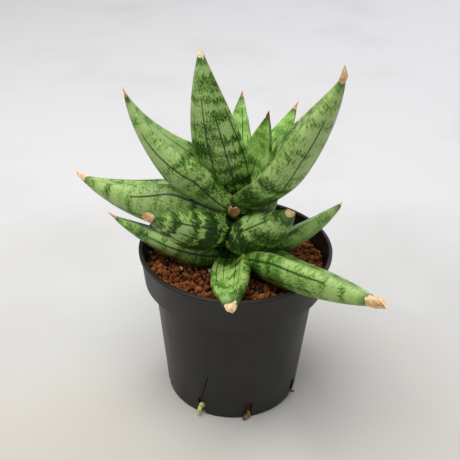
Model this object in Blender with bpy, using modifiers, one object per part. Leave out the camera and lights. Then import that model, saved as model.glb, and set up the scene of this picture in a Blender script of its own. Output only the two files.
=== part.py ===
"""Potted snake plant: a rosette of fat, boat-shaped leaves on a short stem, in a nursery pot.

The frame has its origin at the middle of the pot's base, +Z up, with the front of the plant
towards -Y.  Sizes are in millimetres and become metres where a mesh is made.
"""

import math
from typing import NamedTuple

import bmesh
import bpy
from mathutils import Matrix, Vector

MM = 0.001
GAP = 0.3                # clearance between two pieces that touch

# The pot
RIM_RADIUS = 55.0
POT_HEIGHT = 96.0
BASE_RADIUS = 39.5
WALL = 1.2
LIP_HEIGHT = 2.5
LIP_OVERHANG = 1.0       # how far the lip stands out from the collar
LIP_WIDTH = 2.3
COLLAR_HEIGHT = 20.5     # lip and collar together
COLLAR_TAPER = 2.0
COLLAR_STEP = 5.4        # how far the collar stands out from the body
FLOOR = 1.5
FOOT_ROUND = 1.0
POT_STEPS = 64

# The drain slots, in pairs round the foot of the wall
SLOT_PAIRS = 4
SLOT_PAIR_SPREAD = 40.0  # degrees between the two slots of a pair
FIRST_PAIR = -6.0        # heading of the first pair's middle
SLOT_WIDTH = 4.6
SLOT_HEIGHT = 12.0
SLOT_INSET = 5.0         # how far a slot reaches in under the floor
SPLIT_WIDTH = 0.5        # a split in the wall above the front left slot
SPLIT_HEIGHT = 20.0
SPLIT_LEAN = 13.0

# The substrate
SOIL_DROP = 9.0          # from the rim down to the granules
SOIL_CROWN = 1.0         # how much higher the granules stand in the middle

# The rootstock, which is the short stem and the rhizome under it
STEM_RADIUS = 6.5
STEM_ABOVE = 31.0        # above the substrate
STEM_BELOW = 42.0
ROOT_RADIUS = 1.1
RUNNER_CLEARANCE = 0.3   # left each side of the runner in its drain slot

# The leaves
LEAF_STATIONS = 12
LEAF_RING = 12
LEAF_SUBSTEPS = 6
SPIKE_WIDTH = 0.1        # width of the dry point, as a share of the leaf's
INNER_BULGE = 0.22       # share of the thickness on the channelled side
OUTER_BULGE = 0.78

COLLAR_TOP = RIM_RADIUS - LIP_OVERHANG
COLLAR_FOOT = COLLAR_TOP - COLLAR_TAPER
BODY_TOP = COLLAR_FOOT - COLLAR_STEP
BODY_HEIGHT = POT_HEIGHT - COLLAR_HEIGHT
SOIL_LEVEL = POT_HEIGHT - SOIL_DROP
RUNNER_RADIUS = SLOT_WIDTH / 2 - RUNNER_CLEARANCE


class Leaf(NamedTuple):
    """One leaf; angles are degrees and a heading is 0 to the front and 90 to the right."""

    name: str
    foot: tuple              # x, y and height above the substrate
    length: float
    width: float
    thickness: float
    heading: float
    rise: tuple              # slope at the foot and at the point
    turn: float = 0.0        # how far the heading swings by the point
    roll: tuple = (0, 0)     # turn of the blade about its own length, at its foot and beyond
    foot_width: float = 0.7  # width at the foot, as a share of the widest
    widest: float = 0.3      # where it is widest, as a share of the length
    taper: float = 1.5       # above 1, it narrows late
    blunt: float = 0.14      # width where the dry point starts
    ease: float = 1.0        # above 1, the blade curves up late
    fold: tuple = (80, 30)   # degrees that each half folds up, at the foot and along the blade
    opening: float = 0.5     # share of the length over which the fold opens
    spike: float = 5.0       # length of the dry point


# From the youngest to the oldest: each leaf clasps those before it.
LEAVES = (
    Leaf("leaf_small_centre", (0.7, 4.9, 24.8), 64, 22.6, 8, 122, (67, 80), roll=(10, 15),
         widest=0.42, blunt=0.12, opening=0.58),
    Leaf("leaf_small_back", (-0.5, 4.4, 24.6), 74, 19.1, 7, -179, (62, 48), turn=-8, roll=(0, 3),
         widest=0.4, blunt=0.11, opening=0.57),
    Leaf("leaf_small_right", (-0.9, 4.8, 23.6), 75, 22, 7.7, 133, (48, 55), roll=(0, 2),
         widest=0.4, blunt=0.12, opening=0.57),
    Leaf("leaf_tall_back", (0.1, 3.2, 27.1), 103, 33.1, 10.2, -58.6, (69, 85), turn=-4,
         roll=(20, 31), foot_width=0.6, widest=0.41, taper=1.42, blunt=0.12, fold=(77, 44),
         opening=0.45),
    Leaf("leaf_upper_right", (4.2, -0.1, 35.1), 104, 43, 16, 60.7, (51, 67), turn=-10,
         roll=(-4, 17), widest=0.39, taper=1.44, blunt=0.1, fold=(51, 45), opening=0.42),
    Leaf("leaf_upper_left", (2.6, 0.2, 33.6), 95, 35.7, 13.7, -88.5, (29, 69), roll=(-24, 4),
         widest=0.45, taper=1, blunt=0.065, ease=1.1, fold=(122, 39), opening=0.98),
    Leaf("leaf_side_left", (-3.8, 0.2, 29.9), 90, 37, 16.8, -99, (-1, 16), turn=-7,
         roll=(-15, 20), foot_width=0.76, widest=0.4, blunt=0.114, fold=(140, 40), opening=0.94),
    Leaf("leaf_plump_right", (-0.2, -5.4, 16.7), 52, 27.5, 15, 54.4, (32, 51), turn=-10,
         roll=(11, -45), foot_width=0.77, widest=0.19, taper=1.76, blunt=0.2, fold=(82, 40),
         opening=0.3),
    Leaf("leaf_plump_left", (-3.8, -4.6, 19), 64, 25.1, 15.5, -53, (29, 30), turn=5,
         roll=(24, 52), widest=0.37, taper=1.56, blunt=0.145, ease=1.2, fold=(78, 33),
         opening=0.4),
    Leaf("leaf_back_right", (2, 4, 16), 62, 25, 12, 152, (20, 46)),
    Leaf("leaf_back_left", (-2, 4, 10), 58, 22, 11, -158, (14, 44)),
    Leaf("leaf_low_right", (5.4, -0.9, 3.9), 66, 17.8, 10.3, 98, (17, 43), turn=-4,
         roll=(-20, -25), widest=0.4, taper=1.62, blunt=0.107, ease=0.84, fold=(80, 32)),
    Leaf("leaf_long_right", (5.1, -5.3, 6.7), 94.6, 29.2, 14.7, 44, (12.5, 9), roll=(-11, -32),
         widest=0.35, taper=1.9, blunt=0.25, fold=(57, 41), opening=0.47),
    Leaf("leaf_low_left", (-2.9, -3, 1), 74, 23.4, 12.7, -90.5, (15, 29), roll=(18, 20),
         widest=0.26, taper=1.53, blunt=0.085, ease=0.84, fold=(80, 35)),
    Leaf("leaf_front", (0, -6.8, 4.5), 55, 22, 10, -8, (22, -16), turn=12, roll=(10, 25),
         widest=0.45, taper=2.2, blunt=0.36, fold=(80, 58)),
)

# Short scale leaves that have dried to papery sheaths round the stem.
SCALES = (
    Leaf("scale_crown", (-1.6, -15.2, 37), 8, 8, 1.2, -12, (72, 60), blunt=0.5, fold=(80, 75),
         spike=1),
    Leaf("scale_back", (0, 5, -3), 27, 22, 3, 176, (82, 66), fold=(80, 75), spike=2),
)


def mix(start, end, share):
    return start + (end - start) * share


def smooth(share):
    share = min(1.0, max(0.0, share))
    return share * share * (3 - 2 * share)


def heading_vector(heading):
    angle = math.radians(heading)
    return Vector((math.sin(angle), -math.cos(angle), 0))


def make_material(name, colour, roughness):
    material = bpy.data.materials.new(name)
    material.use_nodes = True
    shader = material.node_tree.nodes["Principled BSDF"]
    shader.inputs["Base Color"].default_value = (*colour, 1)
    shader.inputs["Roughness"].default_value = roughness
    shader.inputs["Metallic"].default_value = 0
    return material


def make_object(name, mesh, collection, material=None):
    piece = bpy.data.objects.new(name, mesh)
    if material:
        mesh.materials.clear()
        mesh.materials.append(material)
    collection.objects.link(piece)
    return piece


def hide_cutter(cutter):
    cutter.hide_render = True
    cutter.display_type = "WIRE"


def baked_mesh(piece, name):
    """The piece as its modifiers leave it, as a closed mesh of triangles, which cuts cleanly."""
    evaluated = piece.evaluated_get(bpy.context.evaluated_depsgraph_get())
    mesh = bpy.data.meshes.new_from_object(evaluated)
    mesh.name = name
    mesh.transform(piece.matrix_world)
    form = bmesh.new()
    form.from_mesh(mesh)
    bmesh.ops.remove_doubles(form, verts=form.verts, dist=0.001 * MM)
    bmesh.ops.triangulate(form, faces=form.faces)
    form.to_mesh(mesh)
    form.free()
    return mesh


def keep_largest(form):
    """Drop the off-cuts that trimming leaves, and keep the piece that matters."""
    unseen = set(form.faces)
    islands = []
    while unseen:
        island = [unseen.pop()]
        for face in island:
            for edge in face.edges:
                for other in edge.link_faces:
                    if other in unseen:
                        unseen.remove(other)
                        island.append(other)
        islands.append(island)
    islands.sort(key=lambda faces: sum(face.calc_area() for face in faces))
    for island in islands[:-1]:
        bmesh.ops.delete(form, geom=island, context="FACES")
    loose = [vert for vert in form.verts if not vert.link_faces]
    bmesh.ops.delete(form, geom=loose, context="VERTS")


def trim(piece, cutters):
    """Cut a piece back from its neighbours."""
    for cutter in cutters:
        cut = piece.modifiers.new(cutter.name, "BOOLEAN")
        cut.operation = "DIFFERENCE"
        cut.object = cutter
    bpy.context.view_layer.update()
    mesh = baked_mesh(piece, piece.name)
    form = bmesh.new()
    form.from_mesh(mesh)
    keep_largest(form)
    form.to_mesh(mesh)
    form.free()
    piece.modifiers.clear()
    piece.data = mesh


def turned(name, profile, collection, material=None, ring=False):
    """A turned solid; its profile runs over the top and down the outside, axis to axis."""
    mesh = bpy.data.meshes.new(name)
    form = bmesh.new()
    points = [form.verts.new((radius * MM, 0, height * MM)) for radius, height in profile]
    for start, end in zip(points, points[1:] + points[:1] if ring else points[1:]):
        form.edges.new((start, end))
    form.to_mesh(mesh)
    form.free()
    piece = make_object(name, mesh, collection, material)
    screw = piece.modifiers.new("turn", "SCREW")
    screw.steps = POT_STEPS
    screw.render_steps = POT_STEPS
    screw.use_merge_vertices = True
    screw.merge_threshold = 0.01 * MM
    return piece


def pot_wall(height):
    """Outer radius of the pot's body at a height."""
    return mix(BASE_RADIUS, BODY_TOP, height / BODY_HEIGHT)


def make_pot(parts, cutters, material):
    inner_foot = BODY_HEIGHT + WALL
    profile = (
        (0, FLOOR),
        (pot_wall(FLOOR) - WALL, FLOOR),
        (pot_wall(inner_foot) - WALL, inner_foot),
        (COLLAR_FOOT - WALL, inner_foot),
        (COLLAR_TOP - WALL, POT_HEIGHT - LIP_HEIGHT),
        (RIM_RADIUS - LIP_WIDTH, POT_HEIGHT - 0.3),
        (RIM_RADIUS - LIP_WIDTH + 0.3, POT_HEIGHT),
        (RIM_RADIUS - 0.4, POT_HEIGHT),
        (RIM_RADIUS, POT_HEIGHT - 0.4),
        (RIM_RADIUS, POT_HEIGHT - LIP_HEIGHT),
        (COLLAR_TOP, POT_HEIGHT - LIP_HEIGHT),
        (COLLAR_FOOT, BODY_HEIGHT),
        (BODY_TOP, BODY_HEIGHT),
        (pot_wall(FOOT_ROUND), FOOT_ROUND),
        (pot_wall(0) - 0.3 * FOOT_ROUND, 0.3 * FOOT_ROUND),
        (pot_wall(0) - FOOT_ROUND, 0),
        (0, 0),
    )
    pot = turned("pot", profile, parts, material)
    for cutter in slot_cutters(cutters):
        cut = pot.modifiers.new(cutter.name, "BOOLEAN")
        cut.operation = "DIFFERENCE"
        cut.object = cutter
    return pot


def slot_headings():
    headings = []
    for pair in range(SLOT_PAIRS):
        middle = FIRST_PAIR + pair * 360 / SLOT_PAIRS
        headings += [middle - SLOT_PAIR_SPREAD / 2, middle + SLOT_PAIR_SPREAD / 2]
    return headings


def wall_cutter(name, heading, width, bottom, top, inner, lean, collection):
    """An upright blade that cuts the wall at a heading, leaning about its radial axis."""
    outer = pot_wall(top) + WALL
    mesh = bpy.data.meshes.new(name)
    form = bmesh.new()
    bmesh.ops.create_cube(form, size=1)
    size = Vector((width, outer - inner, top - bottom)) * MM
    middle = Vector((0, -(outer + inner) / 2, (top + bottom) / 2)) * MM
    bmesh.ops.scale(form, vec=size, verts=form.verts)
    bmesh.ops.rotate(form, matrix=Matrix.Rotation(math.radians(lean), 3, "Y"), verts=form.verts)
    bmesh.ops.translate(form, vec=middle, verts=form.verts)
    bmesh.ops.rotate(form, matrix=Matrix.Rotation(math.radians(heading), 3, "Z"), verts=form.verts)
    form.to_mesh(mesh)
    form.free()
    cutter = make_object(name, mesh, collection)
    hide_cutter(cutter)
    return cutter


def slot_cutters(collection):
    made = []
    for index, heading in enumerate(slot_headings()):
        inner = BASE_RADIUS - SLOT_INSET
        name = f"slot_cutter_{index + 1}"
        made.append(wall_cutter(name, heading, SLOT_WIDTH, -2, SLOT_HEIGHT, inner, 0, collection))
    top = SLOT_HEIGHT + SPLIT_HEIGHT
    inner = pot_wall(0) - 2 * WALL
    heading = slot_headings()[0] + 3
    split = wall_cutter("split_cutter", heading, SPLIT_WIDTH, SLOT_HEIGHT - 2, top, inner,
                        SPLIT_LEAN, collection)
    made.append(split)
    return made


def make_substrate(parts, material):
    """Fired-clay granules that fill the pot to just under its rim."""
    collar_inner = mix(COLLAR_FOOT, COLLAR_TOP, 0.5) - WALL
    inner_foot = BODY_HEIGHT + WALL
    profile = (
        (0, SOIL_LEVEL + SOIL_CROWN),
        (0.5 * COLLAR_FOOT, SOIL_LEVEL + 0.7 * SOIL_CROWN),
        (collar_inner - 2.5, SOIL_LEVEL),
        (collar_inner - GAP, SOIL_LEVEL - 1.5),
        (COLLAR_FOOT - WALL - GAP, inner_foot + GAP),
        (pot_wall(inner_foot) - WALL - GAP, inner_foot + GAP),
        (pot_wall(FLOOR) - WALL - GAP, FLOOR + GAP),
        (0, FLOOR + GAP),
    )
    return turned("substrate", profile, parts, material)


def tube(name, path, radii, collection, material=None, grow=0.0):
    """A round root or stem along a path, as a closed mesh."""
    curve = bpy.data.curves.new(name, "CURVE")
    curve.dimensions = "3D"
    curve.bevel_depth = MM
    curve.bevel_resolution = 2
    curve.use_fill_caps = True
    spline = curve.splines.new("POLY")
    spline.points.add(len(path) - 1)
    for point, place, radius in zip(spline.points, path, radii):
        point.co = (*(Vector(place) * MM), 1)
        point.radius = radius + grow
    guide = make_object(f"{name}_guide", curve, collection)
    bpy.context.view_layer.update()
    mesh = baked_mesh(guide, name)
    bpy.data.objects.remove(guide)
    return make_object(name, mesh, collection, material)


def eased_path(points, count):
    """Points on a smooth curve through the given ones."""
    path = []
    ends = [points[0]] + list(points) + [points[-1]]
    spans = len(points) - 1
    for index in range(count):
        place = index / (count - 1) * spans
        span = min(int(place), spans - 1)
        share = place - span
        before, start, end, after = (Vector(ends[span + step]) for step in range(4))
        path.append(0.5 * (2 * start + (end - before) * share
                           + (2 * before - 5 * start + 4 * end - after) * share ** 2
                           + (3 * start - before - 3 * end + after) * share ** 3))
    return path


def slot_point(slot, radius, height, sideways=0.0):
    """A point at a slot, moved sideways by a share of the slot's half width."""
    heading = slot_headings()[slot]
    across = heading_vector(heading + 90) * sideways * SLOT_WIDTH / 2
    return heading_vector(heading) * radius + across + Vector((0, 0, height))


def rootstock_shape():
    foot = SOIL_LEVEL - STEM_BELOW
    top = SOIL_LEVEL + STEM_ABOVE
    path = eased_path(((3, 4, foot), (2, 2, foot + 14), (0, 0, SOIL_LEVEL), (0, 0, top)), 10)
    radii = [STEM_RADIUS * (0.7 + 0.3 * smooth(3 * i / 9)) for i in range(9)]
    return path, radii + [0.6 * STEM_RADIUS]


def root_shapes():
    """The roots that wander down through the substrate, some as far as a drain slot."""
    foot = SOIL_LEVEL - STEM_BELOW
    edge = BASE_RADIUS - 6
    low = FLOOR + 3 * ROOT_RADIUS
    outside = BASE_RADIUS + 2.5
    shapes = {
        "runner": (
            ((-1, -1, foot + 20), (-6, -12, foot + 4),
             slot_point(0, edge, SLOT_HEIGHT - 1.5 * RUNNER_RADIUS),
             slot_point(0, BASE_RADIUS + 0.5, SLOT_HEIGHT / 2, -0.2),
             slot_point(0, BASE_RADIUS + 4, RUNNER_RADIUS, -0.3)),
            RUNNER_RADIUS, 0.35),
        "root_front_right": (
            ((3, 1, foot + 8), (9, -16, foot - 16), slot_point(1, edge, low + 2),
             slot_point(1, BASE_RADIUS, 2.6, 0.3), slot_point(1, outside, 1.4, -1.5)),
            ROOT_RADIUS, 0.8),
        "root_right": (
            ((5, 4, foot + 6), (20, 2, foot - 18), slot_point(2, edge, low + 1),
             slot_point(2, outside, 2.2, 0.2)),
            ROOT_RADIUS, 0.6),
        "root_back": (
            ((4, 8, foot + 4), (8, 22, foot - 14), slot_point(4, edge - 3, low + 4)),
            ROOT_RADIUS, 0.5),
        "root_left": (
            ((0, 6, foot + 5), (-18, 10, foot - 10), slot_point(6, edge - 4, low + 8)),
            ROOT_RADIUS, 0.5),
    }
    return shapes


def make_roots(parts, cutters, substrate, root_material, runner_material):
    """The rootstock and its roots, each in a tunnel of its own through the substrate."""
    path, radii = rootstock_shape()
    tube("rootstock", path, radii, parts, root_material)
    stock_cutter = tube("rootstock_cutter", path, radii, cutters, grow=GAP)
    tunnels = [stock_cutter]
    for name, (points, radius, tip) in root_shapes().items():
        path = eased_path(points, 12)
        radii = [radius * mix(1, tip, max(0, i / 11 - 0.6) / 0.4) for i in range(12)]
        material = runner_material if name == "runner" else root_material
        root = tube(name, path, radii, parts, material)
        tunnels.append(tube(f"{name}_cutter", path, radii, cutters, grow=GAP))
        trim(root, [stock_cutter])
    trim(substrate, tunnels)
    for cutter in tunnels[1:]:
        bpy.data.objects.remove(cutter)
    return stock_cutter


def leaf_way(leaf, share):
    """The way the leaf grows at a share of its length."""
    slope = math.radians(mix(*leaf.rise, share ** leaf.ease))
    level = heading_vector(leaf.heading + leaf.turn * share)
    return level * math.cos(slope) + Vector((0, 0, math.sin(slope)))


def leaf_frames(leaf):
    """Places along the leaf: its share of the length, a point, and the across and inner ways."""
    blade = 1 - leaf.spike / leaf.length
    shares = [blade * i / LEAF_STATIONS for i in range(LEAF_STATIONS + 1)] + [mix(blade, 1, 0.12), 1.0]
    frames = []
    point = Vector(leaf.foot) + Vector((0, 0, SOIL_LEVEL))
    last = 0.0
    for share in shares:
        for step in range(LEAF_SUBSTEPS):
            middle = mix(last, share, (step + 0.5) / LEAF_SUBSTEPS)
            point = point + leaf_way(leaf, middle) * (share - last) * leaf.length / LEAF_SUBSTEPS
        last = share
        along = leaf_way(leaf, share)
        side = heading_vector(leaf.heading + leaf.turn * share + 90)
        inner = along.cross(side)
        turn = math.radians(mix(*leaf.roll, smooth(share / 0.4)))
        across = side * math.cos(turn) + inner * math.sin(turn)
        inner = inner * math.cos(turn) - side * math.sin(turn)
        frames.append((share, point, across, inner, along))
    return blade, frames


def leaf_section(leaf, share, blade):
    """Half width, thickness and fold of the leaf at a share of its length."""
    if share <= leaf.widest:
        fullness = math.sin(share / leaf.widest * math.pi / 2)
        width = mix(leaf.foot_width, 1, fullness)
        thickness = mix(0.6, 1, smooth(share / leaf.widest))
    elif share <= blade:
        gone = (share - leaf.widest) / (blade - leaf.widest)
        width = mix(1, leaf.blunt, gone ** leaf.taper)
        thickness = width ** 0.75
    else:
        width = mix(SPIKE_WIDTH, SPIKE_WIDTH / 4, (share - blade) / (1 - blade))
        thickness = width
    half_width = leaf.width / 2 * width
    thickness = min(leaf.thickness * thickness, 1.9 * half_width)
    fold = mix(*leaf.fold, smooth(share / leaf.opening))
    return half_width, thickness, math.radians(fold)


def leaf_mesh(leaf, name, grow=0.0):
    """A leaf lofted from sections that go from a folded foot to a fat blade and a dry point."""
    blade, frames = leaf_frames(leaf)
    form = bmesh.new()
    rings = []
    for index, (share, point, across, inner, along) in enumerate(frames):
        half_width, thickness, fold = leaf_section(leaf, share, blade)
        radius = half_width / fold
        reach = (half_width + grow) / radius
        if index == 0:
            point = point - along * grow
        if index == len(frames) - 1:
            point = point + along * grow
        ring = []
        for step in range(LEAF_RING):
            angle = 2 * math.pi * step / LEAF_RING
            bulge = INNER_BULGE if math.sin(angle) > 0 else OUTER_BULGE
            height = (bulge * thickness + grow) * math.sin(angle)
            bend = reach * math.cos(angle)
            x = (radius - height) * math.sin(bend)
            y = radius - (radius - height) * math.cos(bend)
            ring.append(form.verts.new((point + across * x + inner * y) * MM))
        rings.append(ring)
    for ring, following in zip(rings, rings[1:]):
        for step in range(LEAF_RING):
            after = (step + 1) % LEAF_RING
            form.faces.new((ring[step], ring[after], following[after], following[step]))
    form.faces.new(rings[0][::-1])
    form.faces.new(rings[-1])
    bmesh.ops.recalc_face_normals(form, faces=form.faces)
    bmesh.ops.triangulate(form, faces=form.faces)
    mesh = bpy.data.meshes.new(name)
    form.to_mesh(mesh)
    form.free()
    return mesh


def pot_clearance(cutters):
    """The space that the lip and the granules take, which the leaves rest on and never enter."""
    inside = RIM_RADIUS - LIP_WIDTH - GAP
    outside = RIM_RADIUS + GAP
    top = POT_HEIGHT + GAP
    bottom = SOIL_LEVEL - SOIL_DROP
    lip = ((inside, bottom), (inside, top), (outside, top), (outside, bottom))
    soil_top = SOIL_LEVEL + SOIL_CROWN + GAP
    soil = ((0, soil_top), (inside, soil_top), (inside, bottom), (0, bottom))
    return [turned("lip_cutter", lip, cutters, ring=True), turned("soil_cutter", soil, cutters)]


def make_leaves(parts, cutters, neighbours, leaf_material, scale_material):
    """The leaves, each trimmed to clasp the younger ones and to lie on the rim."""
    inside = list(neighbours)
    for leaf in LEAVES + SCALES:
        material = scale_material if leaf in SCALES else leaf_material
        piece = make_object(leaf.name, leaf_mesh(leaf, leaf.name), parts, material)
        trim(piece, inside)
        grown = make_object(f"{leaf.name}_cutter", leaf_mesh(leaf, leaf.name, GAP), cutters)
        inside.append(grown)
    for cutter in inside:
        hide_cutter(cutter)


def soften(collection):
    """Smooth shading on every piece, with its real edges kept."""
    for piece in collection.objects:
        piece.data.shade_smooth()
        piece.data.set_sharp_from_angle(angle=math.radians(35))


def main():
    for old in list(bpy.data.objects):
        bpy.data.objects.remove(old)
    scene = bpy.context.scene
    parts = bpy.data.collections.new("potted_snake_plant")
    cutters = bpy.data.collections.new("cutters")
    scene.collection.children.link(parts)
    scene.collection.children.link(cutters)

    plastic = make_material("black_plastic", (0.035, 0.034, 0.032), 0.55)
    clay = make_material("fired_clay", (0.28, 0.11, 0.045), 0.95)
    leaf_green = make_material("leaf", (0.12, 0.27, 0.05), 0.45)
    root_brown = make_material("root", (0.30, 0.15, 0.07), 0.8)
    runner_green = make_material("runner", (0.52, 0.56, 0.18), 0.5)
    dry_scale = make_material("dry_scale", (0.55, 0.40, 0.22), 0.85)

    make_pot(parts, cutters, plastic)
    substrate = make_substrate(parts, clay)
    stock_cutter = make_roots(parts, cutters, substrate, root_brown, runner_green)
    neighbours = [stock_cutter] + pot_clearance(cutters)
    make_leaves(parts, cutters, neighbours, leaf_green, dry_scale)
    soften(parts)


main()
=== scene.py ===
import math
import random
from collections import namedtuple

import bmesh
import bpy
from mathutils import Matrix, Vector, noise


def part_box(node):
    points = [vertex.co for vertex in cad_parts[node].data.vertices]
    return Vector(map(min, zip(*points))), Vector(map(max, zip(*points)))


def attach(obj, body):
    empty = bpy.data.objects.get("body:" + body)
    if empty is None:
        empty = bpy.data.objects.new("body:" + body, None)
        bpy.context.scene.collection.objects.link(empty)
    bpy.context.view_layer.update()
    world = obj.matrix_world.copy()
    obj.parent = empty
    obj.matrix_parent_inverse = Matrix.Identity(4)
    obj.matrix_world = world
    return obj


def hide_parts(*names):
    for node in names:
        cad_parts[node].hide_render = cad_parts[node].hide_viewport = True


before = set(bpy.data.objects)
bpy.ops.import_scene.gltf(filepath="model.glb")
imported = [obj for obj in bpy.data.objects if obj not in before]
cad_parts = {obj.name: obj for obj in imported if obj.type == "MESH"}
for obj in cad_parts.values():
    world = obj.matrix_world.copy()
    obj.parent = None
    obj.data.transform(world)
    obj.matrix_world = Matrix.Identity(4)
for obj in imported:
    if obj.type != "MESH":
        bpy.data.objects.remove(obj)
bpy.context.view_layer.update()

MM = 0.001


# ---- Studio ----------------------------------------------------------------------------------
# A sheet of pale matt paper under a broad soft lamp, with a camera that looks down on the plant
# at about thirty degrees. The paper is painted darker and warm grey in front of the pot and
# lighter and cooler behind it: painted shade in front, painted light behind.

def linear(hex_colour):
    """Linear colour of an sRGB hex value."""
    shares = [int(hex_colour[i:i + 2], 16) / 255 for i in (1, 3, 5)]
    return (*((c / 12.92 if c <= 0.04045 else ((c + 0.055) / 1.055) ** 2.4) for c in shares), 1)


def add(material, kind, inputs=None, out=0, stops=None, **settings):
    """Adds a node and returns one output: inputs are values or links, stops a ramp's colours."""
    tree = material.node_tree
    node = tree.nodes.new("ShaderNode" + kind)
    for name, value in settings.items():
        setattr(node, name, value)
    for name, value in (inputs or {}).items():
        if isinstance(value, bpy.types.NodeSocket):
            tree.links.new(value, node.inputs[name])
        else:
            node.inputs[name].default_value = value
    for i, (place, colour) in enumerate(stops or ()):
        stop = node.color_ramp.elements[i] if i < 2 else node.color_ramp.elements.new(place)
        stop.position = place
        stop.color = linear(colour) if isinstance(colour, str) else (colour, colour, colour, 1)
    return node.outputs[out] if len(node.outputs) else node


def new_material(name):
    """An empty material, ready for its nodes."""
    material = bpy.data.materials.new(name)
    material.use_nodes = True
    material.node_tree.nodes.clear()
    return material


def show(name, form, material, sharp_over=40):
    """Turns a bmesh into a finished object, smooth but for edges sharper than an angle."""
    mesh = bpy.data.meshes.new(name)
    form.to_mesh(mesh)
    form.free()
    mesh.materials.append(material)
    mesh.shade_smooth()
    mesh.set_sharp_from_angle(angle=math.radians(sharp_over))
    piece = bpy.data.objects.new(name, mesh)
    bpy.context.scene.collection.objects.link(piece)
    return piece


# Matt paper: almost no gloss, a faint cloudiness, and a painted gradient from darker warm grey
# in front to lighter cool grey behind: painted shade in front and painted light behind.
paper = new_material("matt_paper")
spot = add(paper, "TexCoord", out="Object")
# Painted light and shade: the paper's colour gets lighter and cooler from front to back.
painted_light_depth = add(paper, "MapRange", {0: add(paper, "SeparateXYZ", {0: spot}, out=1), 1: -0.1, 2: 0.25})
cloud = add(paper, "TexNoise", {"Vector": spot, "Scale": 9.0, "Detail": 3.0})
blur = add(paper, "Math", {0: cloud, 1: 0.5}, operation="SUBTRACT")
cloud_and_painted_light = add(paper, "ValToRGB", {0: add(paper, "Math", {0: painted_light_depth, 1: blur}, operation="ADD")},
           stops=[(0.0, "#cdc9c1"), (1.0, "#dedee0"), (0.5, "#cfcfcf")])
add(paper, "OutputMaterial", {0: add(paper, "BsdfPrincipled", {
    "Base Color": cloud_and_painted_light, "Roughness": 0.7, "Specular IOR Level": 0.3})})

paper_form = bmesh.new()
bmesh.ops.create_grid(paper_form, x_segments=1, y_segments=1, size=2.5)
show("paper_sheet", paper_form, paper)

world = bpy.data.worlds.new("studio_air")
world.use_nodes = True
world.node_tree.nodes["Background"].inputs[0].default_value = linear("#e9e9ea")
world.node_tree.nodes["Background"].inputs[1].default_value = 0.42
bpy.context.scene.world = world


def lamp(name, place, target, width, length, power, colour):
    """A rectangular soft lamp that faces a target."""
    light = bpy.data.lights.new(name, "AREA")
    light.shape = "RECTANGLE"
    light.size = width
    light.size_y = length
    light.energy = power
    light.color = linear(colour)[:3]
    holder = bpy.data.objects.new(name, light)
    bpy.context.scene.collection.objects.link(holder)
    holder.location = place
    way = Vector(target) - Vector(place)
    holder.rotation_euler = way.to_track_quat("-Z", "Y").to_euler()


lamp("top_softbox", (-0.25, -0.1, 1.15), (0, 0.02, 0.1), 1.1, 0.9, 13.5, "#fffdf8")
lamp("back_fill", (0.7, 1.1, 0.9), (0.2, 0.7, 0), 0.9, 0.9, 6, "#f6f7ff")

camera_data = bpy.data.cameras.new("camera")
camera_data.sensor_width = 36
camera_data.lens = 62.6
camera = bpy.data.objects.new("camera", camera_data)
bpy.context.scene.collection.objects.link(camera)
camera.matrix_world = (Matrix.Translation((-0.00343, -0.38454, 0.34027))
                       @ Matrix.Rotation(math.radians(90 - 31.38), 4, "X")
                       @ Matrix.Rotation(math.radians(1.344), 4, "Z"))
bpy.context.scene.camera = camera
bpy.context.scene.view_settings.view_transform = "Standard"


# ---- Pot -------------------------------------------------------------------------------------
# A black nursery pot, injection moulded in polypropylene: a tapered cup, a stepped collar, a
# rounded lip and pairs of drain slots at the foot. The wall has split above the front left slot.

pot_low, pot_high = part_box("pot")
RIM = (pot_high.x - pot_low.x) / 2 / MM
POT_TOP = pot_high.z / MM
BASE = 39.5
BODY_TOP = 46.6
BODY_HEIGHT = 75.5
WALL = 1.2
FIRST_PAIR = -6
SLOT_HEADINGS = [FIRST_PAIR + 90 * pair + side for pair in range(4) for side in (-20, 20)]
SLOT_WIDTH = 4.6
SLOT_HEIGHT = 12
SPLIT_HEADING = -23
SPLIT_WIDTH = 0.5
SPLIT_LEAN = 13


def mix(start, end, share):
    return start + (end - start) * share


def smooth(share):
    share = min(1, max(0, share))
    return share * share * (3 - 2 * share)


def heading_vector(heading):
    """A level way out from the middle: 0 is the front of the pot and 90 its right."""
    return Vector((math.sin(math.radians(heading)), -math.cos(math.radians(heading)), 0))


def wall_radius(height):
    return mix(BASE, BODY_TOP, height / BODY_HEIGHT)


def turned(profile, steps, rounding=0.0):
    """A bmesh turned from a profile in mm, whose corners are first rounded."""
    form = bmesh.new()
    points = [form.verts.new((radius * MM, 0, height * MM)) for radius, height in profile]
    for start, end in zip(points, points[1:]):
        form.edges.new((start, end))
    if rounding:
        bmesh.ops.bevel(form, geom=points[1:-1], offset=rounding * MM, offset_type="OFFSET",
                        segments=3, profile=0.5, affect="VERTICES", material=-1,
                        clamp_overlap=True)
    bmesh.ops.spin(form, geom=form.verts[:] + form.edges[:], cent=(0, 0, 0), axis=(0, 0, 1),
                   angle=math.tau, steps=steps, use_merge=True)
    bmesh.ops.remove_doubles(form, verts=form.verts, dist=0.01 * MM)
    bmesh.ops.recalc_face_normals(form, faces=form.faces)
    return form


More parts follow.
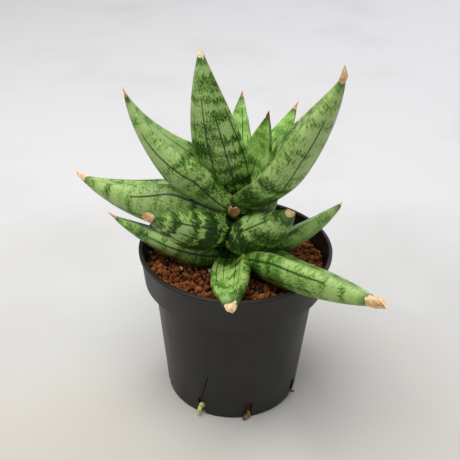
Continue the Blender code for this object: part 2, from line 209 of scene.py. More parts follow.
# Polypropylene with the fine grain of its mould: a soft broad gloss, faint scuffs and dust.
polypropylene = new_material("moulded_polypropylene")
spot = add(polypropylene, "TexCoord", out="Object")
upright = add(polypropylene, "Mapping", {"Vector": spot, "Scale": (1.0, 1.0, 0.3)})
scuff = add(polypropylene, "TexNoise", {"Vector": upright, "Scale": 90.0, "Detail": 6.0})
dust = add(polypropylene, "TexNoise", {"Vector": spot, "Scale": 22.0, "Detail": 4.0})
black = add(polypropylene, "ValToRGB", {0: scuff},
            stops=[(0.3, "#181817"), (0.75, "#222220")])
film = add(polypropylene, "MapRange", {0: dust, 1: 0.45, 2: 0.8, 3: 0.0, 4: 0.3})
dusty = add(polypropylene, "Mix", {0: film, 6: black, 7: linear("#45413a")}, out=2,
            data_type="RGBA")
worn = add(polypropylene, "MapRange", {0: scuff, 1: 0.3, 2: 0.75, 3: 0.42, 4: 0.55})
grain = add(polypropylene, "TexNoise", {"Vector": spot, "Scale": 1500.0, "Detail": 2.0})
relief = add(polypropylene, "Bump", {"Height": grain, "Strength": 0.15, "Distance": 0.0001})
add(polypropylene, "OutputMaterial", {0: add(polypropylene, "BsdfPrincipled", {
    "Base Color": dusty, "Roughness": worn, "Specular IOR Level": 0.32, "Normal": relief})})

pot_profile = [
    (0, 1.5), (wall_radius(1.5) - WALL, 1.5), (wall_radius(76.7) - WALL, 76.7), (50.8, 76.7),
    (RIM - 2.2, POT_TOP - 2.5), (RIM - 2.3, POT_TOP), (RIM, POT_TOP), (RIM, POT_TOP - 2.5),
    (RIM - 1, POT_TOP - 2.9), (52, BODY_HEIGHT), (BODY_TOP, BODY_HEIGHT),
    (wall_radius(0.4), 0.4), (38.5, 0), (0, 0)]
pot = show("pot_shell", turned(pot_profile, 144, 0.6), polypropylene)
cutters = []
for heading in SLOT_HEADINGS + [SPLIT_HEADING]:
    cut = bmesh.new()
    bmesh.ops.create_cube(cut, size=1)
    if heading == SPLIT_HEADING:
        lean = Matrix.Rotation(math.radians(SPLIT_LEAN), 3, "Y")
        bmesh.ops.scale(cut, vec=(SPLIT_WIDTH * MM, 16 * MM, 22 * MM), verts=cut.verts)
        bmesh.ops.rotate(cut, matrix=lean, verts=cut.verts)
        lift = SLOT_HEIGHT + 9
    else:
        bmesh.ops.scale(cut, vec=(SLOT_WIDTH * MM, 12 * MM, 14 * MM), verts=cut.verts)
        lift = SLOT_HEIGHT - 7
    bmesh.ops.translate(cut, vec=(0, -(BASE + 1) * MM, lift * MM), verts=cut.verts)
    bmesh.ops.rotate(cut, matrix=Matrix.Rotation(math.radians(heading), 3, "Z"), verts=cut.verts)
    cutter = show(f"slot_cutter_{heading}", cut, polypropylene)
    cutters.append(cutter)
    hole = pot.modifiers.new("slot", "BOOLEAN")
    hole.operation = "DIFFERENCE"
    hole.object = cutter
whole = bpy.data.meshes.new_from_object(pot.evaluated_get(bpy.context.evaluated_depsgraph_get()))
pot.modifiers.clear()
pot.data = whole
whole.set_sharp_from_angle(angle=math.radians(40))
for cutter in cutters:
    bpy.data.objects.remove(cutter)
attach(pot, "root")
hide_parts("pot")


# ---- Substrate -------------------------------------------------------------------------------
# Loose granules of fired clay, two to five millimetres, poured in to just under the rim. They
# are crushed and sieved, so each has a few blunt corners; some are dark and a few are pale.

SOIL_CROWN = 1
SOIL_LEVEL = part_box("substrate")[1].z / MM - SOIL_CROWN
BED_RADIUS = 51.0
GRAIN_KINDS = 14
GRAIN_SPACING = 2.5
LOOSE_GRAINS = 240
BED_PAINTED_SHADE = 0.12
PALE_SHADE = 1.08

# Fired clay: dull rust brown, open pores, no gloss. The shade is set grain by grain.
fired_clay = new_material("fired_clay")
spot = add(fired_clay, "TexCoord", out="Object")
shade = add(fired_clay, "Attribute", out="Fac", attribute_name="shade")
pore = add(fired_clay, "TexNoise", {"Vector": spot, "Scale": 900.0, "Detail": 4.0,
                                    "Roughness": 0.7})
patch = add(fired_clay, "Math", {0: pore, 1: 0.5}, operation="SUBTRACT")
part = add(fired_clay, "Math", {0: patch, 1: 0.45, 2: shade}, operation="MULTIPLY_ADD")
rust = add(fired_clay, "ValToRGB", {0: part},
           stops=[(0.0, "#2b2224"), (0.95, "#c98a5c"), (0.16, "#4a3029"), (0.3, "#7d4222"),
                  (0.55, "#96562c"), (0.8, "#b06f3f"), (1.0, "#e8dfcc")])
pits = add(fired_clay, "Bump", {"Height": pore, "Strength": 0.6, "Distance": 0.0004})
add(fired_clay, "OutputMaterial", {0: add(fired_clay, "BsdfPrincipled", {
    "Base Color": rust, "Roughness": 0.9, "Specular IOR Level": 0.25, "Normal": pits})})

# The bed under the grains is set as dark as the darkest grains: painted shade in the gaps between
# them.
bed = turned([(0, SOIL_LEVEL - 2), (30, SOIL_LEVEL - 2.2), (50.9, SOIL_LEVEL - 3.5),
              (49.3, 78), (44.9, 77.5), (37.9, 2), (0, 2)], 96)
shade_layer = bed.verts.layers.float.new("shade")
for vert in bed.verts:
    vert[shade_layer] = BED_PAINTED_SHADE
substrate = show("substrate_bed", bed, fired_clay)
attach(substrate, "root")
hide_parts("substrate")

chance = random.Random(5)
grain_kinds = []
for kind in range(GRAIN_KINDS):
    rough = bmesh.new()
    bmesh.ops.create_icosphere(rough, subdivisions=1, radius=1)
    for vert in rough.verts:
        vert.co *= chance.uniform(0.78, 1.12)
    bmesh.ops.bevel(rough, geom=rough.verts[:], offset=0.32, offset_type="OFFSET", segments=1,
                    profile=0.5, affect="VERTICES", material=-1)
    bmesh.ops.scale(rough, vec=(1, chance.uniform(0.7, 1), chance.uniform(0.6, 0.9)),
                    verts=rough.verts)
    mesh = bpy.data.meshes.new(f"grain_{kind}")
    rough.to_mesh(mesh)
    rough.free()
    grain_kinds.append(mesh)


def scatter(form, layer, places):
    """Adds one turned and sized grain per place: (x, y, height, radius, shade) in mm."""
    for x, y, height, radius, tone in places:
        first = len(form.verts)
        form.from_mesh(chance.choice(grain_kinds))
        form.verts.ensure_lookup_table()
        fresh = form.verts[first:]
        spin = Matrix.Rotation(chance.uniform(0, math.tau), 4, (
            chance.uniform(-1, 1), chance.uniform(-1, 1), chance.uniform(-1, 1) + 0.01))
        move = Matrix.Translation((x * MM, y * MM, height * MM)) @ spin @ Matrix.Scale(radius * MM, 4)
        bmesh.ops.transform(form, matrix=move, verts=fresh)
        for vert in fresh:
            vert[layer] = tone


def grain_shade():
    """Most grains are rust brown, one in eight is nearly black and one in a hundred is pale."""
    draw = chance.random()
    if draw < 0.12:
        return chance.uniform(0.02, 0.16)
    if draw < 0.99:
        return chance.uniform(0.28, 0.82)
    return chance.uniform(0.95, 1.1)


places = []
for row in range(-25, 26):
    for column in range(-25, 26):
        x = (column + 0.5 * (row % 2)) * GRAIN_SPACING + chance.uniform(-0.7, 0.7)
        y = row * GRAIN_SPACING * 0.87 + chance.uniform(-0.7, 0.7)
        out = math.hypot(x, y)
        if out < BED_RADIUS - 1:
            size = chance.choice((1.1, 1.3, 1.5, 1.7, 2.1))
            sink = 1.4 * smooth((out - 42) / 9)
            places.append((x, y, SOIL_LEVEL - 1.2 - sink + chance.uniform(-0.9, 0.9), size,
                           grain_shade()))
for _ in range(LOOSE_GRAINS):
    out = BED_RADIUS * math.sqrt(chance.random()) * 0.94
    turn = chance.uniform(0, math.tau)
    size = chance.uniform(1.2, 2.6)
    places.append((out * math.cos(turn), out * math.sin(turn), SOIL_LEVEL + 0.2, size,
                   grain_shade()))
# One pale pebble lies in front of the low left leaf.
places.append((-14, -15, SOIL_LEVEL + 1, 1.8, PALE_SHADE))
grit = bmesh.new()
shade_layer = grit.verts.layers.float.new("shade")
scatter(grit, shade_layer, places)
granules = show("clay_granules", grit, fired_clay, 30)
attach(granules, "root")
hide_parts("substrate")


# ---- Rootstock and roots ---------------------------------------------------------------------
# The short upright stem that every leaf grows from, thin brown roots that wander down to the
# slots, and one pale green runner that pokes out of the front left slot beside the pot's foot.

STEM = 6.5
STEM_ABOVE = 31
STEM_BELOW = 42
ROOT = 1.1
ROOT_POINTS = 40
RUNNER = SLOT_WIDTH / 2 - 0.3
RUNNER_POINTS = 60


def eased_path(points, count):
    """Points on a smooth curve through the given ones."""
    path = []
    ends = [points[0]] + list(points) + [points[-1]]
    spans = len(points) - 1
    for index in range(count):
        place = index / (count - 1) * spans
        span = min(int(place), spans - 1)
        share = place - span
        before, start, end, after = (Vector(ends[span + step]) for step in range(4))
        path.append(0.5 * (2 * start + (end - before) * share
                           + (2 * before - 5 * start + 4 * end - after) * share ** 2
                           + (3 * start - before - 3 * end + after) * share ** 3))
    return path


def slot_point(slot, radius, height, sideways=0.0):
    """A point at a drain slot, moved sideways by a share of the slot's half width."""
    heading = SLOT_HEADINGS[slot]
    across = heading_vector(heading + 90) * sideways * SLOT_WIDTH / 2
    return heading_vector(heading) * radius + across + Vector((0, 0, height))


def tube(path, radii, sides=14):
    """A closed round tube along a path in mm, with its length in mm kept as 'along'."""
    form = bmesh.new()
    layer = form.verts.layers.float.new("along")
    ring = bmesh.ops.create_circle(form, cap_ends=False, segments=sides, radius=MM)["verts"]
    edges = form.edges[:]
    length = 0.0
    for index, (point, radius) in enumerate(zip(path, radii)):
        ahead = path[min(index + 1, len(path) - 1)] - path[max(index - 1, 0)]
        frame_turn = ahead.to_track_quat("Z", "Y").to_matrix().to_4x4()
        if index:
            grown = bmesh.ops.extrude_edge_only(form, edges=edges)["geom"]
            ring = [item for item in grown if isinstance(item, bmesh.types.BMVert)]
            edges = [item for item in grown if isinstance(item, bmesh.types.BMEdge)
                     and all(vert in ring for vert in item.verts)]
            length += (point - path[index - 1]).length
            back = Matrix.Translation(-last_point * MM)
            flat = last_turn.inverted() @ back
            bmesh.ops.transform(form, matrix=flat, verts=ring)
            bmesh.ops.scale(form, vec=(1 / last_radius,) * 3, verts=ring)
        bmesh.ops.scale(form, vec=(radius,) * 3, verts=ring)
        bmesh.ops.transform(form, matrix=Matrix.Translation(point * MM) @ frame_turn, verts=ring)
        for vert in ring:
            vert[layer] = length
        last_point, last_radius, last_turn = point, radius, frame_turn
    bmesh.ops.holes_fill(form, edges=form.edges, sides=sides)
    bmesh.ops.recalc_face_normals(form, faces=form.faces)
    return form


# Root skin: a thin papery bark, brown and grey, wrinkled lengthwise, with no gloss.
root_skin = new_material("root_bark")
spot = add(root_skin, "TexCoord", out="Object")
wrinkle = add(root_skin, "TexNoise", {"Vector": spot, "Scale": 700.0, "Detail": 4.0})
bark = add(root_skin, "ValToRGB", {0: wrinkle},
           stops=[(0.3, "#5a3a24"), (0.75, "#a8825c")])
ridge = add(root_skin, "Bump", {"Height": wrinkle, "Strength": 0.5, "Distance": 0.0003})
add(root_skin, "OutputMaterial", {0: add(root_skin, "BsdfPrincipled", {
    "Base Color": bark, "Roughness": 0.85, "Specular IOR Level": 0.3, "Normal": ridge})})

foot = SOIL_LEVEL - STEM_BELOW
edge = BASE - 6
roots = {
    "rootstock": (((3, 4, foot), (2, 2, foot + 14), (0, 0, SOIL_LEVEL),
                   (0, 0, SOIL_LEVEL + STEM_ABOVE)), STEM, 0.6),
    "root_front_right": (((3, 1, foot + 8), (9, -16, foot - 16), slot_point(1, edge, 6.8),
                          slot_point(1, BASE, 2.6, 0.3), slot_point(1, BASE + 2.5, 1.4, -1.5)),
                         ROOT, 0.8),
    "root_right": (((5, 4, foot + 6), (20, 2, foot - 18), slot_point(2, edge, 5.8),
                    slot_point(2, BASE + 2.5, 2.2, 0.2)), ROOT, 0.6),
    "root_back": (((4, 8, foot + 4), (8, 22, foot - 14), slot_point(4, edge - 3, 8.8)), ROOT, 0.5),
    "root_left": (((0, 6, foot + 5), (-18, 10, foot - 10), slot_point(6, edge - 4, 12.8)),
                  ROOT, 0.5)}
for name, (points, radius, tip) in roots.items():
    path = eased_path(points, ROOT_POINTS)
    radii = [radius * mix(1, tip, max(0, i / (ROOT_POINTS - 1) - 0.6) / 0.4)
             * (1 + 0.12 * noise.noise(Vector((i * 0.9, radius, 3))))
             for i in range(ROOT_POINTS)]
    piece = show(f"{name}_bark", tube(path, radii), root_skin)
    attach(piece, "root")
    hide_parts(name)

# Runner skin: smooth and waxy, pale yellow green, ringed where its scales were.
runner_skin = new_material("young_runner_skin")
along = add(runner_skin, "Attribute", out="Fac", attribute_name="along")
spot = add(runner_skin, "TexCoord", out="Object")
speck = add(runner_skin, "TexNoise", {"Vector": spot, "Scale": 500.0, "Detail": 3.0})
ring = add(runner_skin, "Math", {0: add(runner_skin, "Math", {0: along, 1: 3.5},
                                        operation="MODULO"), 1: 0.45}, operation="LESS_THAN")
green = add(runner_skin, "ValToRGB", {0: speck},
            stops=[(0.3, "#c0c458"), (0.7, "#e2e296")])
ringed = add(runner_skin, "Mix", {0: ring, 6: green, 7: linear("#a09048")}, out=2,
             data_type="RGBA")
add(runner_skin, "OutputMaterial", {0: add(runner_skin, "BsdfPrincipled", {
    "Base Color": ringed, "Roughness": 0.45, "Specular IOR Level": 0.5})})

runner_points = ((-1, -1, foot + 20), (-6, -12, foot + 4),
                 slot_point(0, edge, SLOT_HEIGHT - 1.5 * RUNNER),
                 slot_point(0, BASE + 0.5, SLOT_HEIGHT / 2, -0.2),
                 slot_point(0, BASE + 4, RUNNER, -0.3))
runner_path = eased_path(runner_points, RUNNER_POINTS)
runner_radii = [RUNNER * mix(1, 0.35, max(0, i / (RUNNER_POINTS - 1) - 0.6) / 0.4)
                for i in range(RUNNER_POINTS)]
runner = show("runner_shoot", tube(runner_path, runner_radii), runner_skin)
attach(runner, "root")
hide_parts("runner")


# ---- Leaves ----------------------------------------------------------------------------------
# Fifteen fat boat-shaped leaves in a loose rosette, each clasping the younger ones inside it.
# A waxy skin over water tissue, light green, barred with ragged dark bands and thin dark lines.

Leaf = namedtuple(
    "Leaf", "name foot length width thickness heading rise turn roll foot_width widest taper "
            "blunt ease fold opening spike youth pale bars seed tip",
    defaults=(0, (0, 0), 0.7, 0.3, 1.5, 0.14, 1, (80, 30), 0.5, 5, 0.0, 0.0, 0.3, 0,
              (4, 1.0, 0.7, 0.3, 10, 0.5)))

LEAVES = (
    Leaf("leaf_small_centre", (0.7, 4.9, 24.8), 64, 22.6, 8, 122, (67, 80), roll=(10, 15),
         widest=0.42, blunt=0.12, opening=0.58, youth=0.3, pale=0.1, seed=1,
         tip=(4.5, 1.0, 0.7, 0.2, 0, 0.1)),
    Leaf("leaf_small_back", (-0.5, 4.4, 24.6), 74, 19.1, 7, -179, (62, 48), turn=-8, roll=(0, 3),
         widest=0.4, blunt=0.11, opening=0.57, youth=0.9, seed=2,
         tip=(4, 1.0, 0.6, 0.2, 0, 0.35)),
    Leaf("leaf_small_right", (-0.9, 4.8, 23.6), 75, 22, 7.7, 133, (48, 55), roll=(0, 2),
         widest=0.4, blunt=0.12, opening=0.57, youth=0.8, seed=3, tip=(5, 1.0, 0.6, 0.2, 0, 0.5)),
    Leaf("leaf_tall_back", (0.1, 3.2, 27.1), 103, 33.1, 10.2, -58.6, (69, 85), turn=-4,
         roll=(20, 31), foot_width=0.6, widest=0.41, taper=1.42, blunt=0.12, fold=(77, 44),
         opening=0.45, pale=0.3, seed=4, tip=(4, 1.0, 1.0, 0.5, 10, 0.95)),
    Leaf("leaf_upper_right", (4.2, -0.1, 35.1), 104, 43, 16, 60.7, (51, 67), turn=-10,
         roll=(-4, 17), widest=0.39, taper=1.44, blunt=0.1, fold=(51, 45), opening=0.42, pale=0.6,
         bars=0.1, seed=5, tip=(8, 0.9, 1.1, 0.4, 30, 0.75)),
    Leaf("leaf_upper_left", (2.6, 0.2, 33.6), 95, 35.7, 13.7, -88.5, (29, 69), roll=(-24, 4),
         widest=0.45, taper=1, blunt=0.065, ease=1.1, fold=(122, 39), opening=0.98, pale=0.9,
         bars=0.1, seed=6, tip=(5.5, 1.0, 0.6, 0.2, 0, 0.55)),
    Leaf("leaf_side_left", (-3.8, 0.2, 29.9), 90, 37, 16.8, -99, (-1, 16), turn=-7,
         roll=(-15, 20), foot_width=0.76, widest=0.4, blunt=0.114, fold=(140, 40), opening=0.94,
         pale=0.9, bars=0.2, seed=7, tip=(7.5, 1.0, 0.9, 0.6, 20, 0.8)),
    Leaf("leaf_plump_right", (-0.2, -5.4, 16.7), 52, 27.5, 15, 54.4, (32, 51), turn=-10,
         roll=(11, -45), foot_width=0.77, widest=0.19, taper=1.76, blunt=0.2, fold=(82, 40),
         opening=0.3, pale=0.35, bars=1, seed=8, tip=(3, 0.8, 0.9, 0.6, 0, 0.75)),
    Leaf("leaf_plump_left", (-3.8, -4.6, 19), 64, 25.1, 15.5, -53, (29, 30), turn=5,
         roll=(24, 52), widest=0.37, taper=1.56, blunt=0.145, ease=1.2, fold=(78, 33),
         opening=0.4, pale=0.2, bars=1.2, seed=9, tip=(6, 1.0, 1.25, 0.9, 10, 0.7)),
    Leaf("leaf_back_right", (2, 4, 16), 62, 25, 12, 152, (20, 46), seed=10),
    Leaf("leaf_back_left", (-2, 4, 10), 58, 22, 11, -158, (14, 44), seed=11),
    Leaf("leaf_low_right", (5.4, -0.9, 3.9), 66, 17.8, 10.3, 98, (17, 43), turn=-4,
         roll=(-20, -25), widest=0.4, taper=1.62, blunt=0.107, ease=0.84, fold=(80, 32), pale=0.5,
         youth=0.3, seed=12, tip=(2.5, 1.0, 0.8, 0.4, 0, 0.9)),
    Leaf("leaf_long_right", (5.1, -5.3, 6.7), 94.6, 29.2, 14.7, 44, (12.5, 9), roll=(-11, -32),
         widest=0.35, taper=1.9, blunt=0.25, fold=(57, 41), opening=0.47, pale=0.4, youth=0.3,
         seed=13, tip=(9, 1.0, 1.2, 1.0, -20, 0.75)),
    Leaf("leaf_low_left", (-2.9, -3, 1), 74, 23.4, 12.7, -90.5, (15, 29), roll=(18, 20),
         widest=0.26, taper=1.53, blunt=0.085, ease=0.84, fold=(80, 35), pale=0.4, youth=0.2,
         seed=14, tip=(5, 1.0, 0.9, 0.5, 10, 0.6)),
    Leaf("leaf_front", (0, -6.8, 4.5), 55, 22, 10, -8, (22, -16), turn=12, roll=(10, 25),
         widest=0.45, taper=2.2, blunt=0.36, fold=(80, 58), pale=0.2, bars=0.8, youth=0.3,
         seed=15, tip=(5, 0.8, 0.7, 0.5, -60, 0.85)),
)
INNER_BULGE = 0.22
OUTER_BULGE = 0.78
STATIONS = 110
AROUND = 64
COURSE_STEPS = 480


def leaf_course(leaf, stations):
    """Point, across, inner and along ways of a leaf at even shares of its length."""
    course = []
    point = Vector(leaf.foot) + Vector((0, 0, SOIL_LEVEL))
    for index in range(stations + 1):
        share = index / stations
        if index:
            middle = (index - 0.5) / stations
            slope = math.radians(mix(*leaf.rise, middle ** leaf.ease))
            level = heading_vector(leaf.heading + leaf.turn * middle)
            ahead = level * math.cos(slope) + Vector((0, 0, math.sin(slope)))
            point = point + ahead * leaf.length / stations
        slope = math.radians(mix(*leaf.rise, share ** leaf.ease))
        level = heading_vector(leaf.heading + leaf.turn * share)
        ahead = level * math.cos(slope) + Vector((0, 0, math.sin(slope)))
        side = heading_vector(leaf.heading + 90 + leaf.turn * share)
        inner = ahead.cross(side)
        roll = math.radians(mix(*leaf.roll, smooth(share / 0.4)))
        across = side * math.cos(roll) + inner * math.sin(roll)
        inner = inner * math.cos(roll) - side * math.sin(roll)
        course.append((point, across, inner, ahead))
    return course


def leaf_section(leaf, share):
    """Half width, thickness and fold in mm and radians at a share of the length."""
    blade = 1 - leaf.spike / leaf.length
    if share <= leaf.widest:
        width = mix(leaf.foot_width, 1, math.sin(share / leaf.widest * math.pi / 2))
        thickness = mix(0.6, 1, smooth(share / leaf.widest))
    else:
        gone = min(1, (share - leaf.widest) / (blade - leaf.widest))
        width = mix(1, leaf.blunt, gone ** leaf.taper)
        thickness = width ** 0.75
    half_width = leaf.width / 2 * width
    fold = mix(*leaf.fold, smooth(share / leaf.opening))
    return half_width, min(leaf.thickness * thickness, 1.9 * half_width), math.radians(fold)


def section_point(centre, across, inner, half_width, thickness, fold, angle):
    """A point on the outline of a leaf's section, from its margin round its inner face."""
    bulge = INNER_BULGE if math.sin(angle) > 0 else OUTER_BULGE
    height = bulge * thickness * math.sin(angle)
    radius = half_width / fold
    bend = fold * math.cos(angle)
    x = (radius - height) * math.sin(bend)
    y = radius - (radius - height) * math.cos(bend)
    return (centre + across * x + inner * y) * MM


def leaf_form(leaf):
    """A grid rolled into a leaf, with its own measures kept for the skin's pattern."""
    form = bmesh.new()
    place = form.verts.layers.float_vector.new("place")
    span = form.verts.layers.float_vector.new("span")
    growth = form.verts.layers.float_vector.new("growth")
    bmesh.ops.create_grid(form, x_segments=AROUND, y_segments=STATIONS, size=1)
    course = leaf_course(leaf, COURSE_STEPS)
    blade = 1 - leaf.spike / leaf.length
    for vert in form.verts:
        angle = (vert.co.x + 1) * math.pi
        share = blade * (vert.co.y + 1) / 2
        row = min(COURSE_STEPS, round(share * COURSE_STEPS))
        centre, across, inner, ahead = course[row]
        half_width, thickness, fold = leaf_section(leaf, row / COURSE_STEPS)
        waver = 0.35 * noise.noise(Vector((math.cos(angle) * 1.5, share * 6, leaf.seed)))
        vert.co = section_point(centre, across, inner, half_width + waver * min(1, half_width / 4),
                                thickness, fold, angle)
        vert[place] = (math.cos(angle), share * leaf.length, math.sin(angle))
        vert[span] = (half_width, (blade - share) * leaf.length, leaf.seed * 7.3)
        vert[growth] = (leaf.youth, leaf.pale, leaf.bars)
    bmesh.ops.remove_doubles(form, verts=form.verts, dist=0.002 * MM)
    bmesh.ops.holes_fill(form, edges=form.edges, sides=AROUND + 1)
    bmesh.ops.recalc_face_normals(form, faces=form.faces)
    return form


# Waxy leaf skin: a thin cuticle over green tissue. It gives a broad soft sheen. The pattern
# runs in the leaf's own millimetres, so bars lie across each leaf and lines follow its length.
leaf_skin = new_material("waxy_leaf_skin")
place = add(leaf_skin, "Attribute", out="Vector", attribute_name="place")
span = add(leaf_skin, "Attribute", out="Vector", attribute_name="span")
growth = add(leaf_skin, "Attribute", out="Vector", attribute_name="growth")
across, along, inner = add(leaf_skin, "SeparateXYZ", {0: place}).node.outputs
half, to_tip, seed = add(leaf_skin, "SeparateXYZ", {0: span}).node.outputs
youth, pale, bars = add(leaf_skin, "SeparateXYZ", {0: growth}).node.outputs
face = add(leaf_skin, "Math", {0: inner, 1: 0.0}, operation="GREATER_THAN")
wide = add(leaf_skin, "Math", {0: across, 1: half}, operation="MULTIPLY")
mark = add(leaf_skin, "Math", {0: face, 1: 3.7, 2: seed}, operation="MULTIPLY_ADD")
skin_place = add(leaf_skin, "CombineXYZ", {0: wide, 1: along, 2: mark})
# Ragged cross bands about six millimetres apart: each fibre carries the edge up or down.
fibre = add(leaf_skin, "TexNoise", {"Vector": add(leaf_skin, "Mapping", {
    "Vector": skin_place, "Scale": (1.5, 0.2, 1.0)}), "Scale": 1.0, "Detail": 1.0})
ragged = add(leaf_skin, "Math", {0: fibre, 1: 8.0, 2: along}, operation="MULTIPLY_ADD")
band = add(leaf_skin, "TexNoise", {"Vector": add(leaf_skin, "Mapping", {
    "Vector": add(leaf_skin, "CombineXYZ", {0: wide, 1: ragged, 2: mark}),
    "Scale": (0.09, 0.2, 1.0)}), "Scale": 1.0, "Detail": 1.0})
# Narrow bars two to three millimetres apart, strong on the plump leaves only.
bar_wave = add(leaf_skin, "Math", {0: add(leaf_skin, "Math", {
    0: add(leaf_skin, "Math", {0: band, 1: 9.0}, operation="MULTIPLY"),
    1: 2.3, 2: add(leaf_skin, "Math", {0: ragged, 1: 2.3}, operation="MULTIPLY")},
    operation="ADD")}, operation="SINE")
barred = add(leaf_skin, "Math", {0: bar_wave, 1: bars}, operation="MULTIPLY")
# Mottling in cells of about a millimetre, drawn out along the leaf.
speck = add(leaf_skin, "TexNoise", {"Vector": add(leaf_skin, "Mapping", {
    "Vector": skin_place, "Scale": (1.5, 0.75, 1.0)}), "Scale": 1.0, "Detail": 3.0,
    "Roughness": 0.65})
# Towards the foot the green gets darker: partly the leaf's own deeper green there, partly painted
# shade where the leaves crowd round the stem.
length_share = add(leaf_skin, "Math", {
    0: along, 1: add(leaf_skin, "Math", {0: along, 1: to_tip}, operation="ADD")},
    operation="DIVIDE")
foot_green_and_painted_shade = add(leaf_skin, "MapRange", {0: length_share, 1: 0.08, 2: 0.6, 3: 0.2, 4: -0.08})
mottle_and_painted_shade = add(leaf_skin, "Math", {0: speck, 1: 1.1, 2: foot_green_and_painted_shade}, operation="MULTIPLY_ADD")
depth = add(leaf_skin, "Math", {0: band, 1: 1.1, 2: mottle_and_painted_shade}, operation="MULTIPLY_ADD")
with_bars = add(leaf_skin, "Math", {0: barred, 1: 0.12, 2: depth}, operation="MULTIPLY_ADD")
calm = add(leaf_skin, "Math", {0: youth, 1: -0.12, 2: with_bars}, operation="MULTIPLY_ADD")
paler = add(leaf_skin, "Math", {0: pale, 1: -0.2, 2: calm}, operation="MULTIPLY_ADD")
halved = add(leaf_skin, "Math", {0: paler, 1: 0.5}, operation="MULTIPLY")
green = add(leaf_skin, "ValToRGB", {0: halved},
            stops=[(0.4, "#a7c67a"), (0.72, "#142806"), (0.48, "#84aa55"), (0.55, "#57802c"),
                   (0.62, "#2c4d0e")])
lime = add(leaf_skin, "ValToRGB", {0: halved},
           stops=[(0.34, "#a8d069"), (0.7, "#356a15"), (0.5, "#7cb03f")])
skin = add(leaf_skin, "Mix", {0: youth, 6: green, 7: lime}, out=2, data_type="RGBA")
# Thin dark lines along the veins, each from its own start behind the tip down to the foot.
wander = add(leaf_skin, "TexNoise", {"Vector": add(leaf_skin, "CombineXYZ", {
    0: add(leaf_skin, "Math", {0: along, 1: 0.04}, operation="MULTIPLY"), 1: mark}),
    "Scale": 1.0, "Detail": 0.0})
offset = add(leaf_skin, "Math", {0: wander, 1: 0.16, 2: add(leaf_skin, "Math", {
    0: mark, 1: 0.37}, operation="MULTIPLY")}, operation="MULTIPLY_ADD")
line_place = add(leaf_skin, "Math", {0: across, 1: 2.5, 2: offset}, operation="MULTIPLY_ADD")
line_number = add(leaf_skin, "Math", {0: line_place}, operation="ROUND")
off_line = add(leaf_skin, "Math", {0: line_place, 1: line_number}, operation="SUBTRACT")
off_mm = add(leaf_skin, "Math", {0: add(leaf_skin, "Math", {0: off_line}, operation="ABSOLUTE"),
                                 1: add(leaf_skin, "Math", {0: half, 1: 0.4},
                                        operation="MULTIPLY")}, operation="MULTIPLY")
line_chance = add(leaf_skin, "TexWhiteNoise", {"Vector": add(leaf_skin, "CombineXYZ", {
    0: line_number, 1: mark})}, out="Value", noise_dimensions="3D")
line_start = add(leaf_skin, "MapRange", {0: line_chance, 3: 6.0, 4: 34.0})
started = add(leaf_skin, "MapRange", {0: add(leaf_skin, "Math", {0: to_tip, 1: line_start},
                                             operation="SUBTRACT"), 1: 0.0, 2: 10.0})
broad = add(leaf_skin, "Math", {0: started, 1: 0.14, 2: 0.04}, operation="MULTIPLY_ADD")
line = add(leaf_skin, "MapRange", {0: off_mm, 1: add(leaf_skin, "Math", {
    0: broad, 1: 0.28}, operation="ADD"), 2: broad, 3: 0.0, 4: 0.85})
drawn = add(leaf_skin, "Math", {0: line, 1: add(leaf_skin, "Math", {0: started, 1: 0.0},
                                                operation="GREATER_THAN")},
            operation="MULTIPLY")
lined = add(leaf_skin, "Mix", {0: drawn, 6: skin, 7: linear("#15300a")}, out=2,
            data_type="RGBA")
dark_tip = add(leaf_skin, "MapRange", {0: to_tip, 1: 0.5, 2: 5.0, 3: 0.8, 4: 0.0})
tipped = add(leaf_skin, "Mix", {0: dark_tip, 6: lined, 7: linear("#2a5a16")}, out=2,
             data_type="RGBA")
edge_width = add(leaf_skin, "Math", {0: inner}, operation="ABSOLUTE")
rim = add(leaf_skin, "MapRange", {0: edge_width, 1: 0.1, 2: 0.03, 3: 0.0, 4: 0.5})
edged = add(leaf_skin, "Mix", {0: rim, 6: tipped, 7: linear("#857c50")}, out=2,
            data_type="RGBA")
ribs = add(leaf_skin, "TexNoise", {"Vector": add(leaf_skin, "Mapping", {
    "Vector": skin_place, "Scale": (3.0, 0.25, 1.0)}), "Scale": 1.0, "Detail": 2.0})
groove = add(leaf_skin, "Math", {0: drawn, 1: -0.6, 2: ribs}, operation="MULTIPLY_ADD")
relief = add(leaf_skin, "Bump", {"Height": groove, "Strength": 0.35, "Distance": 0.0004})
gloss = add(leaf_skin, "MapRange", {0: speck, 1: 0.3, 2: 0.7, 3: 0.36, 4: 0.5})
add(leaf_skin, "OutputMaterial", {0: add(leaf_skin, "BsdfPrincipled", {
    "Base Color": edged, "Roughness": gloss, "Specular IOR Level": 0.4, "Normal": relief,
    "Subsurface Weight": 0.06, "Subsurface Radius": (0.4, 1.0, 0.2),
    "Subsurface Scale": 0.002})})

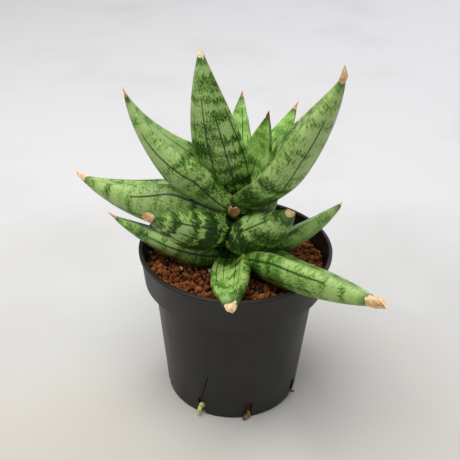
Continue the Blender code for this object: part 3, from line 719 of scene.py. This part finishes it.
# Dry leaf point: dead tissue, papery and brittle, cream to tan and scorched brown in places.
dry_point = new_material("dry_leaf_point")
tone = add(dry_point, "Attribute", out="Fac", attribute_name="tone")
spot = add(dry_point, "TexCoord", out="Object")
crease = add(dry_point, "TexNoise", {"Vector": spot, "Scale": 600.0, "Detail": 4.0})
toned = add(dry_point, "Math", {0: add(dry_point, "Math", {0: crease, 1: 0.5},
                                       operation="SUBTRACT"), 1: 0.5, 2: tone},
            operation="MULTIPLY_ADD")
straw = add(dry_point, "ValToRGB", {0: toned},
            stops=[(0.0, "#5a3a26"), (1.0, "#f6e6bf"), (0.25, "#8f5f3c"), (0.5, "#d0966a"),
                   (0.75, "#e6bd8d")])
crumple = add(dry_point, "Bump", {"Height": crease, "Strength": 0.6, "Distance": 0.0005})
add(dry_point, "OutputMaterial", {0: add(dry_point, "BsdfPrincipled", {
    "Base Color": straw, "Roughness": 0.75, "Specular IOR Level": 0.35, "Normal": crumple,
    "Subsurface Weight": 0.15, "Subsurface Radius": (1.0, 0.6, 0.3),
    "Subsurface Scale": 0.001})})


def point_form(leaf):
    """The dry point of a leaf: a crumpled cone that goes on from the end of the blade."""
    length, start, middle, end, curl, tone = leaf.tip
    blade = 1 - leaf.spike / leaf.length
    course = leaf_course(leaf, COURSE_STEPS)
    centre, across, inner, ahead = course[round(blade * COURSE_STEPS)]
    half_width, thickness, fold = leaf_section(leaf, blade)
    form = bmesh.new()
    layer = form.verts.layers.float.new("tone")
    bmesh.ops.create_grid(form, x_segments=24, y_segments=14, size=1)
    for vert in form.verts:
        angle = (vert.co.x + 1) * math.pi
        share = (vert.co.y + 1) / 2
        size = mix(start, middle, share * 2) if share < 0.5 else mix(middle, end, share * 2 - 1)
        size *= 1 + 0.3 * noise.noise(Vector((math.cos(angle) * 2, math.sin(angle) * 2,
                                              leaf.seed + share * length * 0.6)))
        size *= min(1, (1 - share) * 6 + 0.02) ** 0.5
        turn = math.radians(curl) * share
        way = ahead * math.cos(turn / 2) + inner * math.sin(turn / 2)
        up = inner * math.cos(turn) - ahead * math.sin(turn)
        torn = 1 + 0.5 * share * noise.noise(Vector((math.cos(angle) * 3, leaf.seed, 0)))
        point = centre + way * (share * torn * length - 0.8)
        vert.co = section_point(point, across, up, half_width * size * 1.05,
                                thickness * size * mix(1.05, 0.4, share), fold, angle)
        vert[layer] = tone + 0.3 * noise.noise(Vector((angle, share * 3, leaf.seed)))
    bmesh.ops.remove_doubles(form, verts=form.verts, dist=0.002 * MM)
    bmesh.ops.holes_fill(form, edges=form.edges, sides=25)
    bmesh.ops.recalc_face_normals(form, faces=form.faces)
    return form


for leaf in LEAVES:
    blade = show(f"{leaf.name}_blade", leaf_form(leaf), leaf_skin, 60)
    point = show(f"{leaf.name}_point", point_form(leaf), dry_point, 50)
    for piece in (blade, point):
        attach(piece, "root")
        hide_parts(leaf.name)


# ---- Dry sheaths -----------------------------------------------------------------------------
# Two short scale leaves that have dried round the stem, one at the crown and one behind its foot.
# Papery and brown down the middle, with pale and torn margins.

SCALES = (
    Leaf("scale_crown", (-1.6, -15.2, 37), 8, 8, 1.2, -12, (72, 60), blunt=0.5, fold=(80, 75),
         spike=1, seed=21),
    Leaf("scale_back", (0, 5, -3), 27, 22, 3, 176, (82, 66), fold=(80, 75), spike=2, seed=22),
)
TORN_EDGE = 1.5


def sheath_form(scale):
    """A scale leaf, with a torn end and a tone that runs from its middle to its margins."""
    form = leaf_form(scale)
    layer = form.verts.layers.float.new("tone")
    place = form.verts.layers.float_vector["place"]
    for vert in form.verts:
        across, along, inner = vert[place]
        torn = noise.noise(Vector((across * 3, scale.seed, 0)))
        vert[layer] = mix(0.3, 0.95, across ** 4) + 0.25 * torn
        vert.co.z += TORN_EDGE * (along / scale.length) ** 3 * torn * MM
    return form


for scale in SCALES:
    sheath = show(f"{scale.name}_sheath", sheath_form(scale), dry_point, 60)
    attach(sheath, "root")
    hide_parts(scale.name)
